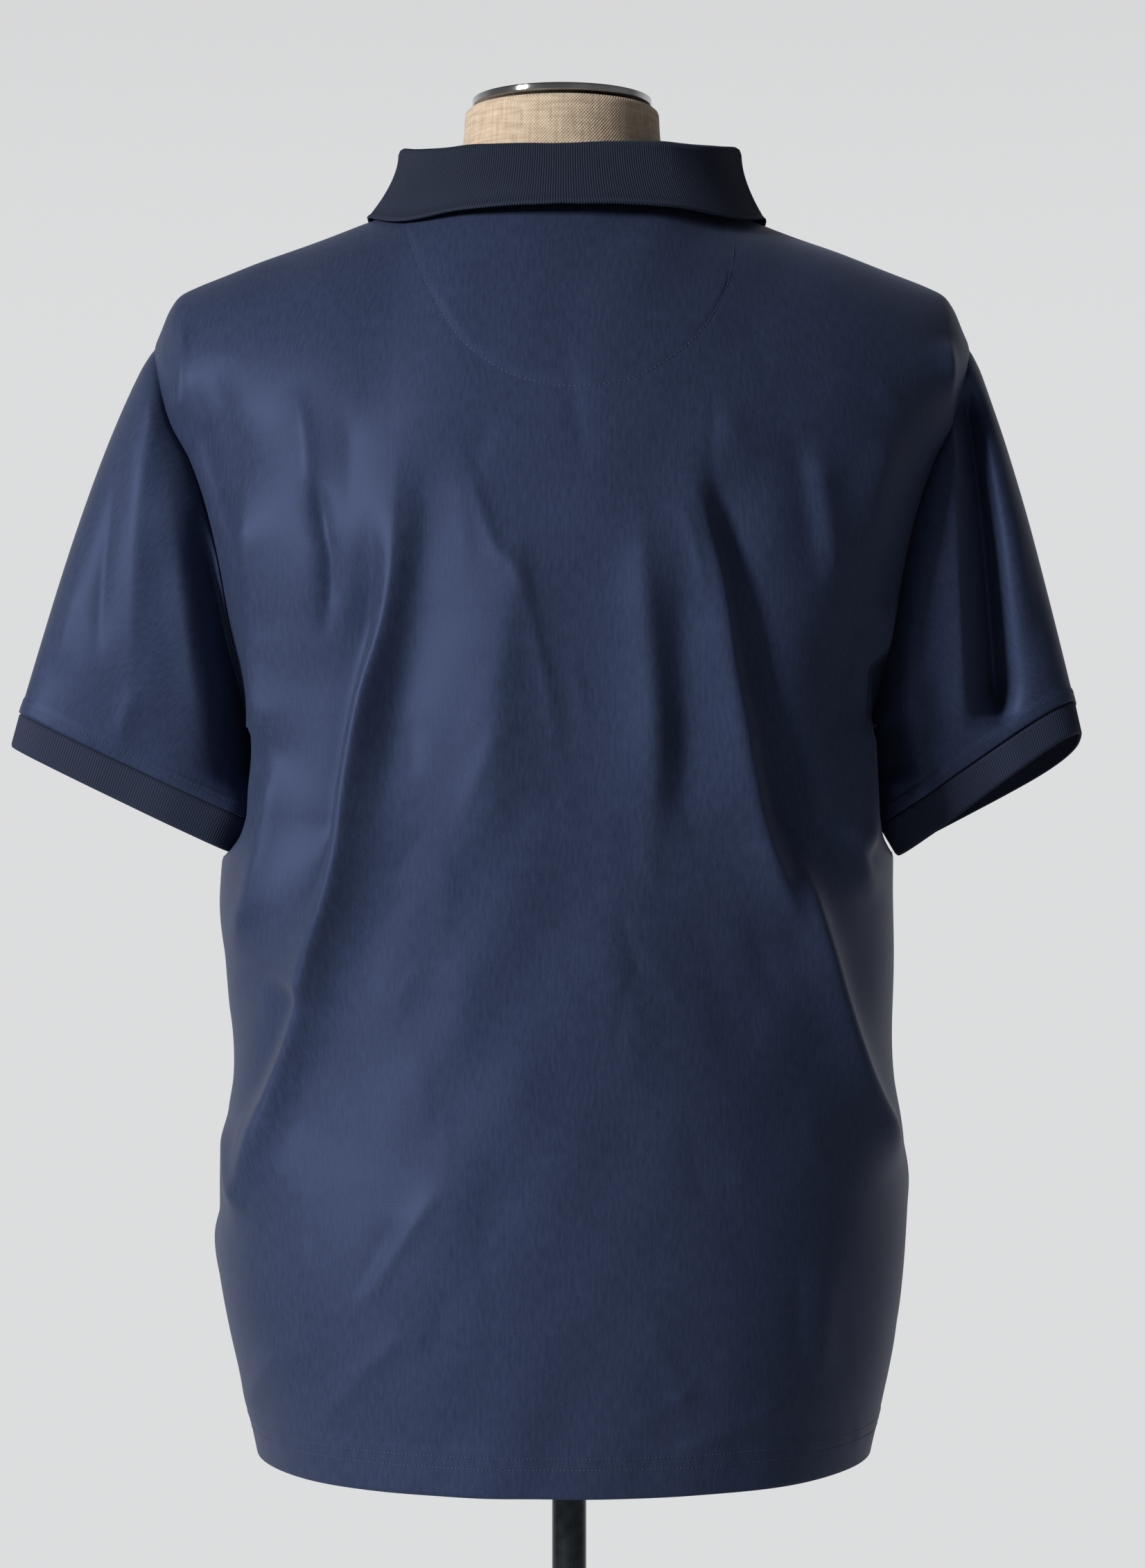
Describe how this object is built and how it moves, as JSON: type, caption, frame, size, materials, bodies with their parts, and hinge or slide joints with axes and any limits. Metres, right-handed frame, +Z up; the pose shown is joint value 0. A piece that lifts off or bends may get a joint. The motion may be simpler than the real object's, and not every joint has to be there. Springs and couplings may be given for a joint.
{
  "type": "polo shirt on dress form",
  "caption": "Short-sleeved knitted polo shirt with ribbed collar and cuffs, worn by a limbless linen dress form on a pole with a round base.",
  "frame": {"origin": "On the floor, at the centre of the base's flat underside, where the pole's axis meets it.", "axes": "+Z up along the pole. The shirt's front faces -Y and its back +Y; the wearer's left is +X."},
  "size_m": [0.6711, 0.35, 1.5995],
  "materials": {
    "jersey": "navy cotton jersey",
    "rib_knit": "navy one-by-one rib knit",
    "button": "navy four-hole resin",
    "linen": "natural plain-weave linen",
    "chrome": "polished",
    "dark_metal": "dark satin gunmetal"
  },
  "bodies": {
    "root": {"back": "jersey", "front": "jersey", "sleeve_left": "jersey", "sleeve_right": "jersey", "placket_under": "jersey", "placket_upper": "jersey", "cuff_left": "rib_knit", "cuff_right": "rib_knit", "collar": "rib_knit", "button_1": "button", "button_2": "button", "button_3": "button", "dress_form": "linen", "neck_cap": "chrome", "pole": "dark_metal", "base": "dark_metal"}
  },
  "joints": []
}
